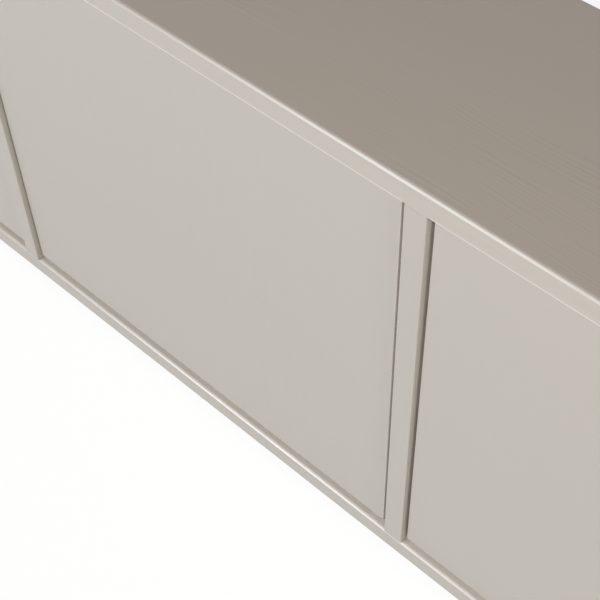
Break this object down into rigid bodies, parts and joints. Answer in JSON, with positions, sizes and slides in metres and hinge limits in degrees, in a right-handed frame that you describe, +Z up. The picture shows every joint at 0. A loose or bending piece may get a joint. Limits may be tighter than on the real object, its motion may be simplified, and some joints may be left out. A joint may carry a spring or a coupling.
{
  "type": "tv cabinet",
  "caption": "Long low television cabinet with plain recessed doors on pivot pins, push latches, loose shelves and cable outlets, in greige brushed wood.",
  "frame": {"origin": "on the floor under the middle of the cabinet", "axes": "+X along the cabinet to the right seen from the front, +Y to the wall so that the doors face -Y, +Z up"},
  "size_m": [2, 0.3, 0.6],
  "materials": {
    "lacquer": "greige satin lacquer over brushed wood, grain along the boards",
    "back_lacquer": "thin painted board, matt",
    "steel": "plated steel",
    "pale_plastic": "moulded nylon",
    "dark_plastic": "moulded plastic"
  },
  "bodies": {
    "carcass": {"top_board": "lacquer", "bottom_board": "lacquer", "side_board_left": "lacquer", "divider_left": "lacquer", "divider_right": "lacquer", "side_board_right": "lacquer", "back_board_left": "back_lacquer", "back_board_middle": "back_lacquer", "back_board_right": "back_lacquer", "cable_ring_left": "dark_plastic", "cable_ring_middle": "dark_plastic", "cable_ring_right": "dark_plastic", "shelf_left": "lacquer", "shelf_middle": "lacquer", "shelf_right": "lacquer", "shelf_pin_left_1": "steel", "shelf_pin_left_2": "steel", "shelf_pin_left_3": "steel", "shelf_pin_left_4": "steel", "shelf_pin_middle_1": "steel", "shelf_pin_middle_2": "steel", "shelf_pin_middle_3": "steel", "shelf_pin_middle_4": "steel", "shelf_pin_right_1": "steel", "shelf_pin_right_2": "steel", "shelf_pin_right_3": "steel", "shelf_pin_right_4": "steel", "pivot_bush_lower_left": "pale_plastic", "pivot_bush_upper_left": "pale_plastic", "pivot_bush_lower_middle": "pale_plastic", "pivot_bush_upper_middle": "pale_plastic", "pivot_bush_lower_right": "pale_plastic", "pivot_bush_upper_right": "pale_plastic", "latch_housing_left": "pale_plastic", "latch_housing_middle": "pale_plastic", "latch_housing_right": "pale_plastic", "foot_1": "dark_plastic", "foot_2": "dark_plastic", "foot_3": "dark_plastic", "foot_4": "dark_plastic", "foot_5": "dark_plastic", "foot_6": "dark_plastic"},
    "door_left": {"door_left": "lacquer", "pivot_pin_lower_left": "steel", "pivot_pin_upper_left": "steel", "strike_plate_left": "steel"},
    "door_middle": {"door_middle": "lacquer", "pivot_pin_lower_middle": "steel", "pivot_pin_upper_middle": "steel", "strike_plate_middle": "steel"},
    "door_right": {"door_right": "lacquer", "pivot_pin_lower_right": "steel", "pivot_pin_upper_right": "steel", "strike_plate_right": "steel"},
    "plunger_left": {"latch_plunger_left": "dark_plastic"},
    "plunger_middle": {"latch_plunger_middle": "dark_plastic"},
    "plunger_right": {"latch_plunger_right": "dark_plastic"}
  },
  "joints": [
    {"name": "door_left_swing", "type": "hinge", "parent": "carcass", "child": "door_left", "pos_m": [-0.9577, -0.1348, 0.306], "axis": [0, 0, -1], "range_deg": [0, 105]},
    {"name": "door_middle_swing", "type": "hinge", "parent": "carcass", "child": "door_middle", "pos_m": [0.29937, -0.1348, 0.306], "axis": [0, 0, 1], "range_deg": [0, 105]},
    {"name": "door_right_swing", "type": "hinge", "parent": "carcass", "child": "door_right", "pos_m": [0.9577, -0.1348, 0.306], "axis": [0, 0, 1], "range_deg": [0, 105]},
    {"name": "latch_left_stroke", "type": "slide", "parent": "carcass", "child": "plunger_left", "axis": [0, -1, 0], "range_m": [0, 0.038]},
    {"name": "latch_middle_stroke", "type": "slide", "parent": "carcass", "child": "plunger_middle", "axis": [0, -1, 0], "range_m": [0, 0.038]},
    {"name": "latch_right_stroke", "type": "slide", "parent": "carcass", "child": "plunger_right", "axis": [0, -1, 0], "range_m": [0, 0.038]}
  ],
  "couplings": [
    {"joint": "latch_left_stroke", "follows": "door_left_swing", "m_per_rad": 0.0207},
    {"joint": "latch_middle_stroke", "follows": "door_middle_swing", "m_per_rad": 0.0207},
    {"joint": "latch_right_stroke", "follows": "door_right_swing", "m_per_rad": 0.0207}
  ]
}
